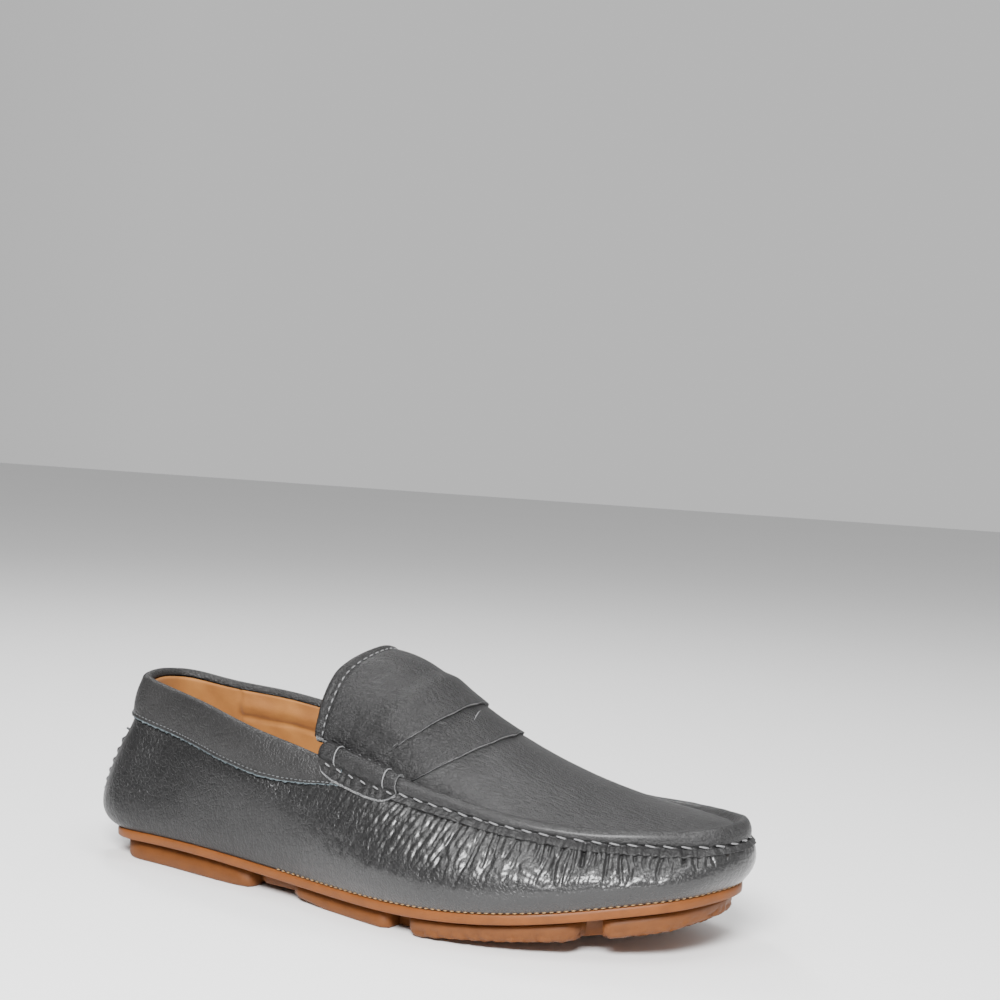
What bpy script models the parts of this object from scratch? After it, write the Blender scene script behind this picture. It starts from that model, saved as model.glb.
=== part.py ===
"""Driving moccasin, the right shoe of a pair, standing empty on its sole.

Toe along +X, the outer side of the foot along -Y, +Z up, floor at Z = 0.
The tables below are in millimetres from the heel; the solids are made in metres round the middle of the shoe.
"""

import math
from collections import namedtuple

import bmesh
import bpy
import numpy as np
from mathutils import Vector

MM = 0.001
ORIGIN_X = 134.0
ORIGIN_Y = -4.5

# One row for each station from heel to toe.
# edge: the outline of the sole's top edge, outer side (lat) and inner side (med).
# rim: the collar at the rear, and the seam of the apron from the throat forward.
# low and high: the two handles that swell the wall between edge and rim. roll: height of the rolled seam.
Station = namedtuple(
    "Station",
    "edge_x edge_lat edge_med edge_z rim_x rim_lat rim_med rim_z low_out low_up high_out high_down roll",
)
STATIONS = [
    Station(-5.5, 0.0, 0.0, 12.5, 2.5, 0.0, 0.0, 78.0, 22.0, 6.0, 0.3, 24.0, 1.0),
    Station(-4.0, -11.5, 11.5, 12.5, 4.0, -9.5, 9.5, 77.5, 22.0, 6.0, 1.5, 24.0, 1.0),
    Station(3.5, -24.0, 22.0, 12.8, 10.0, -16.5, 16.5, 76.5, 16.0, 7.0, 2.8, 24.0, 1.0),
    Station(22.0, -29.0, 29.0, 13.2, 26.5, -20.0, 22.0, 73.5, 8.0, 10.0, 1.5, 22.0, 1.0),
    Station(50.0, -33.5, 33.0, 13.6, 52.0, -29.0, 29.0, 70.5, 6.5, 12.0, 2.0, 20.0, 1.0),
    Station(80.0, -38.0, 32.0, 12.8, 80.0, -36.5, 35.0, 65.5, 6.5, 14.0, 3.0, 18.0, 1.0),
    Station(110.0, -42.5, 31.0, 11.5, 109.0, -37.5, 39.5, 59.5, 7.0, 14.0, 4.0, 16.0, 1.0),
    Station(140.0, -50.0, 33.0, 11.5, 139.0, -42.0, 41.0, 53.0, 8.0, 12.0, 6.0, 13.0, 1.0),
    Station(170.0, -55.5, 37.5, 12.6, 169.0, -43.0, 40.5, 48.5, 8.0, 10.0, 9.0, 10.0, 0.8),
    Station(200.0, -54.0, 42.5, 15.0, 199.0, -42.5, 41.0, 45.0, 8.0, 9.0, 9.0, 8.0, 0.68),
    Station(225.0, -46.5, 45.5, 18.2, 224.0, -37.0, 40.0, 43.0, 8.0, 9.0, 9.0, 7.0, 0.7),
    Station(247.0, -36.5, 40.5, 22.0, 244.0, -30.0, 36.5, 42.5, 8.0, 8.0, 8.0, 6.0, 0.85),
    Station(263.0, -26.5, 28.5, 24.8, 262.5, -20.5, 27.0, 42.6, 7.5, 7.0, 7.0, 5.0, 1.0),
    Station(272.5, -12.0, 15.0, 26.4, 274.5, -11.0, 15.0, 43.4, 6.0, 6.5, 3.5, 5.0, 1.1),
    Station(276.0, 2.0, 2.0, 27.0, 278.5, 2.0, 2.0, 44.0, 6.0, 6.0, 3.0, 5.0, 1.1),
]
TOE = len(STATIONS) - 1
# Mesh rows between one station and the next.
ROWS_PER_STATION = (2, 2, 3, 3, 4, 4, 4, 4, 4, 4, 3, 3, 3, 3)

# The throat: the seam of the apron and the tongue's rear edge start at this station.
THROAT = 6
# Rows across tongue and apron: crest height, how far the row's middle lies forward, and how full the arch is.
Crown = namedtuple("Crown", "station crest bow fullness")
CROWNS = [
    Crown(6.0, 99.0, 5.0, 0.40),
    Crown(6.5, 96.5, 7.0, 0.61),
    Crown(7.0, 90.0, 6.5, 0.70),
    Crown(8.0, 75.5, 2.5, 0.84),
    Crown(9.0, 63.5, 0.5, 0.90),
    Crown(10.0, 56.0, 0.0, 1.0),
    Crown(11.0, 52.0, 0.0, 1.0),
    Crown(12.0, 50.2, 0.0, 1.0),
    Crown(13.0, 49.4, 0.0, 1.0),
    Crown(14.0, 49.2, 0.0, 1.0),
]
# The rolled seam, from the seam line to the crease inside it: distance inward and height over the seam.
Roll = namedtuple("Roll", "inward up")
RIDGE = [Roll(0.0, 0.0), Roll(0.2, 3.2), Roll(1.0, 5.4), Roll(2.8, 6.4), Roll(4.6, 5.6), Roll(6.2, 3.9)]

WALL_THICKNESS = 2.0
GAP = 0.3
# Width of the upper's turned-in margin, which lies on the sole.
MARGIN = 7.5
WALL_SHARES = (0.0, 0.1, 0.22, 0.35, 0.48, 0.61, 0.74, 0.87, 1.0)
CROWN_COLUMNS = 14
# Points across the sole and the insole between their two sides.
SPINE = 3

# The sole's underside: tread height over the floor and how much further in the lugs' side faces lie.
Tread = namedtuple("Tread", "x height recess")
TREADS = [
    Tread(-6.0, 3.0, 0.0),
    Tread(2.0, 1.2, 0.0),
    Tread(10.0, 0.0, 0.0),
    Tread(79.5, 0.0, 0.0),
    Tread(81.0, 2.3, 5.0),
    Tread(101.0, 2.3, 5.0),
    Tread(102.5, 2.2, 0.0),
    Tread(121.0, 0.0, 0.0),
    Tread(154.0, 0.0, 0.0),
    Tread(155.0, 0.0, 9.0),
    Tread(162.0, 0.0, 9.0),
    Tread(163.0, 0.0, 0.0),
    Tread(168.0, 0.0, 0.0),
    Tread(180.0, 1.5, 0.0),
    Tread(203.0, 3.9, 0.0),
    Tread(230.0, 6.4, 0.0),
    Tread(231.0, 6.6, 9.0),
    Tread(237.0, 8.1, 9.0),
    Tread(238.0, 8.3, 0.0),
    Tread(247.0, 9.5, 0.0),
    Tread(259.0, 11.8, 0.0),
    Tread(270.0, 15.2, 0.0),
    Tread(277.0, 18.0, 0.0),
]
BAND_HEIGHT = 4.1
GROOVE_INSET = 5.5
GROOVE_HEIGHT = 1.2
LUG_INSET = 3.5
LUG_BEVEL = 1.0
CLOSEST_ROWS = 0.02

INSOLE_THICKNESS = 2.5
INSOLE_INSET = 5.5
INSOLE_GAP = 0.6
INSOLE_BEVEL = 0.8

CUFF_HEIGHT = 17.0
CUFF_THICKNESS = 1.5
CUFF_GAP = 0.5
# Station where the cuff ends, under the roll of the strap.
CUFF_FRONT = 6.2
CUFF_ROWS = 6

# The saddle strap: its rear and front edges by station, at the side rolls and at the middle of the instep.
SADDLE_REAR_SIDE = 6.35
SADDLE_REAR_MIDDLE = 7.05
SADDLE_FRONT_SIDE = 7.35
SADDLE_FRONT_MIDDLE = 8.35
SADDLE_THICKNESS = 1.5
SADDLE_SIDES = np.linspace(-0.9, 0.9, 13)
# The rear half of the strap laps over the front half at this share of its length.
LAP_SHARE = 0.5
LAP_STEP = 0.8
SADDLE_SHARES = np.array([0.0, 0.12, 0.25, 0.375, 0.49, 0.51, 0.625, 0.75, 0.88, 1.0])
# The roll over the seam: its underside and its outer side, from below the seam inward.
ROLL_UNDER = [
    Roll(-2.0, -2.4),
    Roll(-0.5, 1.6),
    Roll(-0.3, 3.9),
    Roll(0.7, 6.1),
    Roll(2.8, 7.0),
    Roll(5.0, 6.6),
]
ROLL_OVER = [
    Roll(-3.5, -3.2),
    Roll(-2.8, 1.4),
    Roll(-2.0, 5.2),
    Roll(-0.2, 8.0),
    Roll(2.6, 9.2),
    Roll(5.2, 8.9),
]

LEATHER = (0.085, 0.085, 0.09)
RUBBER = (0.36, 0.16, 0.07)
LINING = (0.58, 0.33, 0.14)
WELD = 1e-6
CREASE_ANGLE = 35.0


def tangent_system(steps):
    """The left side of a cubic spline's equations, one row for each inner knot."""
    count = len(steps) - 1
    rows = np.zeros((count, count + 2))
    for i in range(count):
        rows[i, i : i + 3] = steps[i] / 6, (steps[i] + steps[i + 1]) / 3, steps[i + 1] / 6
    return rows


def spline(knots, values):
    """A smooth curve through values at knots, with free ends, as a function of the parameter."""
    knots = np.asarray(knots, float)
    values = np.asarray(values, float)
    steps = np.diff(knots)
    slopes = np.diff(values, axis=0) / steps.reshape(-1, *[1] * (values.ndim - 1))
    bends = np.zeros_like(values)
    bends[1:-1] = np.linalg.solve(tangent_system(steps)[:, 1:-1], np.diff(slopes, axis=0))

    def curve(at):
        at = np.asarray(at, float)
        i = np.clip(np.searchsorted(knots, at, side="right") - 1, 0, len(steps) - 1)
        step = steps[i]
        b = (at - knots[i]) / step
        a = 1 - b
        if values.ndim > 1:
            step, a, b = step[:, None], a[:, None], b[:, None]
        straight = a * values[i] + b * values[i + 1]
        return straight + step**2 / 6 * ((a**3 - a) * bends[i] + (b**3 - b) * bends[i + 1])

    return curve


def closed_spline(knots, values, period):
    """A smooth closed curve: the open one through the values, run on for a few knots past both ends."""
    over = 6
    far_knots = np.concatenate([knots[-over:] - period, knots, knots[: over + 1] + period])
    far_values = np.concatenate([values[-over:], values, values[: over + 1]])
    curve = spline(far_knots, far_values)
    return lambda t: curve(np.asarray(t, float) % period)


def column(name):
    return np.array([getattr(station, name) for station in STATIONS])


def loop_of(*pairs):
    """Columns for the whole loop: the outer side from heel to toe, then the inner side back again."""
    return np.column_stack([np.concatenate([column(out), column(inner)[-2:0:-1]]) for out, inner in pairs])


EDGE_ROWS = loop_of(("edge_x", "edge_x"), ("edge_lat", "edge_med"), ("edge_z", "edge_z"))
RIM_ROWS = loop_of(("rim_x", "rim_x"), ("rim_lat", "rim_med"), ("rim_z", "rim_z"))
HANDLE_ROWS = loop_of(*[(name, name) for name in ("low_out", "low_up", "high_out", "high_down")])
CHORDS = np.linalg.norm(np.roll(EDGE_ROWS, -1, axis=0) - EDGE_ROWS, axis=1)
KNOTS = np.concatenate([[0.0], np.cumsum(CHORDS[:-1])])
ROUND = CHORDS.sum()

edge_curve = closed_spline(KNOTS, EDGE_ROWS, ROUND)
rim_curve = closed_spline(KNOTS, RIM_ROWS, ROUND)
roll_height = closed_spline(KNOTS, loop_of(("roll", "roll")), ROUND)
handle_curve = closed_spline(KNOTS, HANDLE_ROWS, ROUND)
lateral_place = spline(np.arange(TOE + 1), KNOTS[: TOE + 1])
medial_place = spline(np.arange(TOE + 1), np.append(KNOTS, ROUND)[TOE:][::-1])
crown_curve = spline([row.station for row in CROWNS], [row[1:] for row in CROWNS])


def outward(curve, t):
    """Level unit vectors that point away from the shoe."""
    reach = 0.5
    along = curve(t + reach) - curve(t - reach)
    across = np.column_stack([along[:, 1], -along[:, 0], np.zeros(len(along))])
    return across / np.linalg.norm(across, axis=1)[:, None]


def wall(t, share):
    """Points of the wall's outer face: t round the shoe, share from 0 at the sole to 1 at the rim."""
    low, rim, handles = edge_curve(t), rim_curve(t), handle_curve(t)
    low[:, 2] += GAP
    first = low + outward(edge_curve, t) * handles[:, :1]
    first[:, 2] += handles[:, 1]
    second = rim + outward(rim_curve, t) * handles[:, 2:3]
    second[:, 2] -= handles[:, 3]
    rest = 1 - share
    return rest**3 * low + 3 * rest**2 * share * first + 3 * rest * share**2 * second + share**3 * rim


def wall_normal(t, share):
    """Unit vectors square to the wall, pointing out of the shoe."""
    reach = 0.01
    up = wall(t, share) - wall(t, share - reach)
    around = wall(t + reach, share) - wall(t - reach, share)
    normal = np.cross(around, up)
    return normal / np.linalg.norm(normal, axis=1)[:, None]


def share_below_rim(t, drop):
    """The share at which the wall lies this far below the rim."""
    shares = np.linspace(0, 1, 101)
    heights = wall(np.full(len(shares), t), shares[:, None])[:, 2]
    return np.interp(rim_curve([t])[0, 2] - drop, heights, shares)


def seam_line(t, roll):
    """The seam line moved inward and up."""
    points = rim_curve(t) - outward(rim_curve, t) * roll.inward
    points[:, 2] += roll.up * roll_height(t)[:, 0]
    return points


def crown(station, side):
    """Points of tongue and apron between the creases; side runs from -1, outer, to 1, inner."""
    crest, bow, fullness = crown_curve(station).T
    outer = seam_line(lateral_place(station), RIDGE[-1])
    inner = seam_line(medial_place(station), RIDGE[-1])
    turn = side * math.pi / 2
    points = outer + (inner - outer) * ((1 + np.sin(turn)) / 2)[:, None]
    arch = np.maximum(np.cos(turn), 0.0) ** (2 * fullness)
    points[:, 2] += (crest - (outer[:, 2] + inner[:, 2]) / 2) * arch
    points[:, 0] += bow * arch
    return points


def crown_normal(station, side):
    """Unit vectors square to tongue and apron, pointing out of the shoe."""
    reach = 0.02
    along = crown(station + reach, side) - crown(station - reach, side)
    across = crown(station, np.minimum(side + reach, 1)) - crown(station, np.maximum(side - reach, -1))
    normal = np.cross(along, across)
    return normal / np.linalg.norm(normal, axis=1)[:, None]


def station_rows():
    """Stations of the mesh rows from heel to toe."""
    rows = [first + i / count for first, count in enumerate(ROWS_PER_STATION) for i in range(count)]
    return np.array(rows + [TOE])


def material(name, colour, roughness):
    finish = bpy.data.materials.new(name)
    finish.use_nodes = True
    shader = finish.node_tree.nodes["Principled BSDF"]
    shader.inputs["Base Color"].default_value = (*colour, 1.0)
    shader.inputs["Roughness"].default_value = roughness
    shader.inputs["Metallic"].default_value = 0.0
    return finish


class Sheet:
    """Gathers points and faces, then makes one object of them. Points that coincide become one."""

    def __init__(self):
        self.points = []
        self.faces = []

    def add(self, points):
        """The indices of the new points, in the shape of the array of points."""
        flat = points.reshape(-1, 3)
        first = sum(len(part) for part in self.points)
        self.points.append(flat)
        return np.arange(first, first + len(flat)).reshape(points.shape[:-1])

    def grid(self, index):
        """Quads between neighbouring rows and columns."""
        for row, after in zip(index[:-1], index[1:]):
            for a, b, c, d in zip(row[:-1], row[1:], after[1:], after[:-1]):
                self.faces.append((a, b, c, d))

    def build(self, name, finish):
        places = (np.concatenate(self.points) - (ORIGIN_X, ORIGIN_Y, 0.0)) * MM
        shape = bmesh.new()
        corners = [shape.verts.new(place) for place in places]
        for face in self.faces:
            shape.faces.new([corners[i] for i in face])
        bmesh.ops.remove_doubles(shape, verts=shape.verts, dist=WELD)
        bmesh.ops.recalc_face_normals(shape, faces=shape.faces)
        middle = sum((vertex.co for vertex in shape.verts), Vector()) / len(shape.verts)
        outward_parts = [face.normal.dot(face.calc_center_median() - middle) for face in shape.faces]
        facing = sum(part * face.calc_area() for part, face in zip(outward_parts, shape.faces))
        if facing < 0:
            bmesh.ops.reverse_faces(shape, faces=shape.faces)
        mesh = bpy.data.meshes.new(name)
        shape.to_mesh(mesh)
        shape.free()
        mesh.shade_smooth()
        mesh.set_sharp_from_angle(angle=math.radians(CREASE_ANGLE))
        mesh.materials.append(finish)
        obj = bpy.data.objects.new(name, mesh)
        bpy.context.scene.collection.objects.link(obj)
        return obj


def plate(name, finish, rows, profile, spine):
    """A solid lofted from heel to toe, mirrored at the middle line.

    profile gives the section's points on one side, from the top inward edge round to the bottom, and
    spine says how many points lie between the two sides along the top and along the bottom.
    """
    sheet = Sheet()
    shares = np.linspace(0, 1, spine + 2)
    halves = [profile(place(rows)) for place in (lateral_place, medial_place)]
    outer, inner = [np.array(half).transpose(1, 0, 2) for half in halves]

    def across(first, last):
        return first[:, None] + (last - first)[:, None] * shares[None, 1:-1, None]

    bottom = across(outer[:, -1], inner[:, -1])
    top = across(inner[:, 0], outer[:, 0])
    section = np.concatenate([outer, bottom, inner[:, ::-1], top, outer[:, :1]], axis=1)
    sheet.grid(sheet.add(section))
    return sheet.build(name, finish)


def tread_at(x, name):
    return np.interp(x, [row.x for row in TREADS], [getattr(row, name) for row in TREADS])


def outsole(finish):
    """The moulded sole: band, undercut, lugs with their side notches, arch and toe spring."""
    notch_stations = np.interp([row.x for row in TREADS[2:-1]], column("edge_x"), np.arange(TOE + 1))
    rows = np.unique(np.concatenate([station_rows(), notch_stations]))
    rows = rows[np.diff(rows, prepend=-1.0) > CLOSEST_ROWS]

    def profile(t):
        edge = edge_curve(t)
        inward = -outward(edge_curve, t)
        recess = tread_at(edge[:, 0], "recess")
        band_low = edge[:, 2] - BAND_HEIGHT

        def at(inset, height):
            points = edge + inward * np.broadcast_to(inset, len(edge))[:, None]
            points[:, 2] = height
            return points

        groove_low = band_low - GROOVE_HEIGHT
        lug = at(LUG_INSET + recess + LUG_BEVEL, 0.0)
        floor = tread_at(lug[:, 0], "height")
        lug[:, 2] = floor
        return [
            at(0.0, edge[:, 2]),
            at(0.0, band_low),
            at(GROOVE_INSET + recess, band_low),
            at(GROOVE_INSET + recess, groove_low),
            at(LUG_INSET + recess, groove_low),
            at(LUG_INSET + recess, floor + LUG_BEVEL),
            lug,
        ]

    return plate("outsole", finish, rows, profile, SPINE)


def insole(finish):
    """The sock that lies on the upper's margin."""

    def profile(t):
        edge = edge_curve(t)
        inward = -outward(edge_curve, t)
        points = [edge + inward * (INSOLE_INSET + bevel) for bevel in (INSOLE_BEVEL, 0.0, 0.0)]
        low = edge[:, 2] + GAP + WALL_THICKNESS + INSOLE_GAP
        points[0][:, 2] = low + INSOLE_THICKNESS
        points[1][:, 2] = low + INSOLE_THICKNESS - INSOLE_BEVEL
        points[2][:, 2] = low
        return points

    return plate("insole", finish, station_rows(), profile, SPINE)


def upper(finish):
    """The hollow upper: margin, wall, rolled seam, apron and tongue as one wall with two openings."""
    sheet = Sheet()
    rows = station_rows()
    stations = np.concatenate([rows, rows[-2:0:-1]])
    t = np.concatenate([lateral_place(rows), medial_place(rows[-2:0:-1])])
    margin = edge_curve(t) - outward(edge_curve, t) * MARGIN
    margin[:, 2] += GAP
    rings = np.array([margin] + [wall(t, share) for share in WALL_SHARES])
    index = sheet.add(rings)
    sheet.grid(np.column_stack([index, index[:, :1]]))

    front = np.flatnonzero(stations >= THROAT)
    ridge = np.array([seam_line(t[front], roll) for roll in RIDGE[1:]])
    ridge_index = sheet.add(ridge)
    sheet.grid(np.vstack([index[-1, front], ridge_index]))

    crown_rows = rows[rows >= THROAT][:-1]
    sides = np.linspace(-1, 1, CROWN_COLUMNS + 1)
    station_grid, side_grid = np.meshgrid(crown_rows, sides, indexing="ij")
    points = crown(station_grid.ravel(), side_grid.ravel()).reshape(*station_grid.shape, 3)
    crown_index = sheet.add(points)
    sheet.grid(crown_index[:, ::-1][::-1])
    tip = ridge_index[-1, len(front) // 2]
    for a, b in zip(crown_index[-1, :-1], crown_index[-1, 1:]):
        sheet.faces.append((a, tip, b))

    shell = sheet.build("upper", finish)
    solid = shell.modifiers.new("wall", "SOLIDIFY")
    solid.thickness = WALL_THICKNESS * MM
    solid.offset = -1.0
    solid.use_even_offset = True
    return shell


def shell_between(name, finish, under, over):
    """A solid between two grids of the same shape, closed along its four edges."""
    sheet = Sheet()
    low, high = sheet.add(under), sheet.add(over)
    sheet.grid(low)
    sheet.grid(high)
    for side in (0, -1):
        sheet.grid(np.vstack([low[side], high[side]]))
        sheet.grid(np.vstack([low[:, side], high[:, side]]))
    return sheet.build(name, finish)


def collar_cuff(finish):
    """The folded leather cuff round the collar, from one side of the throat to the other."""
    rows = station_rows()
    rows = np.append(rows[rows < CUFF_FRONT], CUFF_FRONT)
    t = np.concatenate([medial_place(rows[:0:-1]) - ROUND, lateral_place(rows)])
    drops = np.linspace(CUFF_HEIGHT, 0.0, CUFF_ROWS)
    shares = np.array([[share_below_rim(place, drop) for drop in drops] for place in t])
    flat = wall(np.repeat(t, CUFF_ROWS), shares.reshape(-1, 1))
    normal = wall_normal(np.repeat(t, CUFF_ROWS), shares.reshape(-1, 1))
    under = (flat + normal * CUFF_GAP).reshape(*shares.shape, 3)
    over = (flat + normal * (CUFF_GAP + CUFF_THICKNESS)).reshape(*shares.shape, 3)
    return shell_between("collar_cuff", finish, under, over)


def saddle(finish):
    """The strap over the instep, with the rolls that it wraps round the seam on both sides."""
    step = np.where(SADDLE_SHARES < LAP_SHARE, LAP_STEP, 0.0)
    bulge = np.cos(SADDLE_SIDES * math.pi / 2)
    rear = SADDLE_REAR_SIDE + (SADDLE_REAR_MIDDLE - SADDLE_REAR_SIDE) * bulge
    front = SADDLE_FRONT_SIDE + (SADDLE_FRONT_MIDDLE - SADDLE_FRONT_SIDE) * bulge
    stations = rear[None, :] + (front - rear)[None, :] * SADDLE_SHARES[:, None]
    side_grid = np.broadcast_to(SADDLE_SIDES, stations.shape)
    flat = crown(stations.ravel(), side_grid.ravel()).reshape(*stations.shape, 3)
    normal = crown_normal(stations.ravel(), side_grid.ravel()).reshape(*stations.shape, 3)
    thickness = GAP + SADDLE_THICKNESS + step[:, None, None]
    roll_stations = SADDLE_REAR_SIDE + (SADDLE_FRONT_SIDE - SADDLE_REAR_SIDE) * SADDLE_SHARES

    def grid(rolls, middle):
        outer = [seam_line(lateral_place(roll_stations), roll) for roll in rolls]
        inner = [seam_line(medial_place(roll_stations), roll) for roll in reversed(rolls)]
        left, right = [np.array(half).transpose(1, 0, 2) for half in (outer, inner)]
        return np.concatenate([left, middle, right], axis=1)

    under = grid(ROLL_UNDER, flat + normal * GAP)
    over = grid(ROLL_OVER, flat + normal * thickness)
    return shell_between("saddle", finish, under, over)


def main():
    for obj in list(bpy.data.objects):
        bpy.data.objects.remove(obj)
    leather = material("grey_grain_leather", LEATHER, 0.45)
    rubber = material("gum_rubber", RUBBER, 0.6)
    lining = material("tan_lining_leather", LINING, 0.7)
    outsole(rubber)
    insole(lining)
    upper(leather)
    collar_cuff(leather)
    saddle(leather)


main()
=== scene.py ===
"""Looks of the driving moccasin: fine leather, thread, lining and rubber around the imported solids.

Tables and shapes are in millimetres from the heel, as the solids were drawn; objects are made in metres
round the middle of the shoe, in the frame of the solids.
"""

import math
from collections import namedtuple

import bmesh
import bpy
import numpy as np
from mathutils import Matrix, Vector


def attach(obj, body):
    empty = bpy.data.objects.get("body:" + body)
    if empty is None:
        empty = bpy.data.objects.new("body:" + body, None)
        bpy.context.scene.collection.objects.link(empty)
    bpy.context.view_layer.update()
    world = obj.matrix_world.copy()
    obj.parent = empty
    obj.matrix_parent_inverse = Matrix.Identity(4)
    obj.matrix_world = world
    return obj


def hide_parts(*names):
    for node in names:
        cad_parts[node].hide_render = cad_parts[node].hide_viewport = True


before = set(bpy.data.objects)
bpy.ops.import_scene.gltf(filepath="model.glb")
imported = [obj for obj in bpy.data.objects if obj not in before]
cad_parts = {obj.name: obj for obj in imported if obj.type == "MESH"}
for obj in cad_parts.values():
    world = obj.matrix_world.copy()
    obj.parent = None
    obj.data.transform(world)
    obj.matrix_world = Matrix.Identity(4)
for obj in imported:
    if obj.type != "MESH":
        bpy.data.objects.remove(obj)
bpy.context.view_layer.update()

MM = 0.001
ORIGIN = np.array((134.0, -4.5, 0.0))
SEED = 7


def table(name, fields, *rows):
    """Rows of sizes with named columns."""
    kind = namedtuple(name, fields)
    return [kind(*row) for row in rows]


Roll = namedtuple("Roll", "inward up")


def rolls(*pairs):
    """Points of a section across a seam or an edge."""
    return [Roll(*pair) for pair in pairs]


# The form, as in the solids. One row for each station from heel to toe.
# edge: the outline of the sole's top edge, outer side (lat) and inner side (med).
# rim: the collar at the rear, and the seam of the apron from the throat forward.
# low and high: the two handles that swell the wall between edge and rim. roll: height of the rolled seam.
STATIONS = table(
    "Station",
    "edge_x edge_lat edge_med edge_z rim_x rim_lat rim_med rim_z low_out low_up high_out high_down roll",
    (-5.5, 0, 0, 12.5, 2.5, 0, 0, 78, 22, 6, 0.3, 24, 1),
    (-4, -11.5, 11.5, 12.5, 4, -9.5, 9.5, 77.5, 22, 6, 1.5, 24, 1),
    (3.5, -24, 22, 12.8, 10, -16.5, 16.5, 76.5, 16, 7, 2.8, 24, 1),
    (22, -29, 29, 13.2, 26.5, -20, 22, 73.5, 8, 10, 1.5, 22, 1),
    (50, -33.5, 33, 13.6, 52, -29, 29, 70.5, 6.5, 12, 2, 20, 1),
    (80, -38, 32, 12.8, 80, -36.5, 35, 65.5, 6.5, 14, 3, 18, 1),
    (110, -42.5, 31, 11.5, 109, -37.5, 39.5, 59.5, 7, 14, 4, 16, 1),
    (140, -50, 33, 11.5, 139, -42, 41, 53, 8, 12, 6, 13, 1),
    (170, -55.5, 37.5, 12.6, 169, -43, 40.5, 48.5, 8, 10, 9, 10, 0.8),
    (200, -54, 42.5, 15, 199, -42.5, 41, 45, 8, 9, 9, 8, 0.68),
    (225, -46.5, 45.5, 18.2, 224, -37, 40, 43, 8, 9, 9, 7, 0.7),
    (247, -36.5, 40.5, 22, 244, -30, 36.5, 42.5, 8, 8, 8, 6, 0.85),
    (263, -26.5, 28.5, 24.8, 262.5, -20.5, 27, 42.6, 7.5, 7, 7, 5, 1),
    (272.5, -12, 15, 26.4, 274.5, -11, 15, 43.4, 6, 6.5, 3.5, 5, 1.1),
    (276, 2, 2, 27, 278.5, 2, 2, 44, 6, 6, 3, 5, 1.1),
)
TOE = len(STATIONS) - 1
THROAT = 6.0
# Rows across tongue and apron. bow: how far the row's middle lies forward. fullness: of the arch.
CROWNS = table(
    "Crown",
    "station crest bow fullness",
    (6, 99, 5, 0.4),
    (6.5, 96.5, 7, 0.61),
    (7, 90, 6.5, 0.7),
    (8, 75.5, 2.5, 0.84),
    (9, 63.5, 0.5, 0.9),
    (10, 56, 0, 1),
    (11, 52, 0, 1),
    (12, 50.2, 0, 1),
    (13, 49.4, 0, 1),
    (14, 49.2, 0, 1),
)
CREASE = Roll(6.2, 3.9)
GAP = 0.3

# The camera: where it looks from, and the pixel of the 1000 pixel square at which its aim appears.
IMAGE_SIZE = 1000
CAMERA_AZIMUTH = 27.0
CAMERA_ELEVATION = 2.2
CAMERA_ROLL = 2.9
CAMERA_DISTANCE = 700.0
CAMERA_AIM = (143.2, 0.0, 40.1)
AIM_PIXEL = (430.0, 800.0)
PIXELS_PER_MM = 2.448
SENSOR = 36.0

rng = np.random.default_rng(SEED)


def spline_system(steps):
    """The left side of a cubic spline's equations, one row for each inner knot."""
    count = len(steps) - 1
    rows = np.zeros((count, count + 2))
    for i in range(count):
        rows[i, i : i + 3] = steps[i] / 6, (steps[i] + steps[i + 1]) / 3, steps[i + 1] / 6
    return rows


def spline(knots, values):
    """A smooth curve through values at knots, with free ends, as a function of the parameter."""
    knots = np.asarray(knots, float)
    values = np.asarray(values, float)
    steps = np.diff(knots)
    slopes = np.diff(values, axis=0) / steps.reshape(-1, *[1] * (values.ndim - 1))
    bends = np.zeros_like(values)
    bends[1:-1] = np.linalg.solve(spline_system(steps)[:, 1:-1], np.diff(slopes, axis=0))

    def curve(at):
        at = np.asarray(at, float)
        i = np.clip(np.searchsorted(knots, at, side="right") - 1, 0, len(steps) - 1)
        step = steps[i]
        b = (at - knots[i]) / step
        a = 1 - b
        if values.ndim > 1:
            step, a, b = step[..., None], a[..., None], b[..., None]
        straight = a * values[i] + b * values[i + 1]
        return straight + step**2 / 6 * ((a**3 - a) * bends[i] + (b**3 - b) * bends[i + 1])

    return curve


def closed_spline(knots, values, period):
    """A smooth closed curve: the open one through the values, run on for a few knots past both ends."""
    over = 6
    far_knots = np.concatenate([knots[-over:] - period, knots, knots[: over + 1] + period])
    far_values = np.concatenate([values[-over:], values, values[: over + 1]])
    curve = spline(far_knots, far_values)
    return lambda t: curve(np.asarray(t, float) % period)


def column(name):
    return np.array([getattr(station, name) for station in STATIONS])


def loop_of(*pairs):
    """Columns for the whole loop: the outer side from heel to toe, then the inner side back again."""
    return np.column_stack([np.concatenate([column(out), column(inner)[-2:0:-1]]) for out, inner in pairs])


EDGE_ROWS = loop_of(("edge_x", "edge_x"), ("edge_lat", "edge_med"), ("edge_z", "edge_z"))
RIM_ROWS = loop_of(("rim_x", "rim_x"), ("rim_lat", "rim_med"), ("rim_z", "rim_z"))
HANDLE_ROWS = loop_of(*[(name, name) for name in ("low_out", "low_up", "high_out", "high_down")])
CHORDS = np.linalg.norm(np.roll(EDGE_ROWS, -1, axis=0) - EDGE_ROWS, axis=1)
KNOTS = np.concatenate([[0.0], np.cumsum(CHORDS[:-1])])
ROUND = CHORDS.sum()

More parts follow.
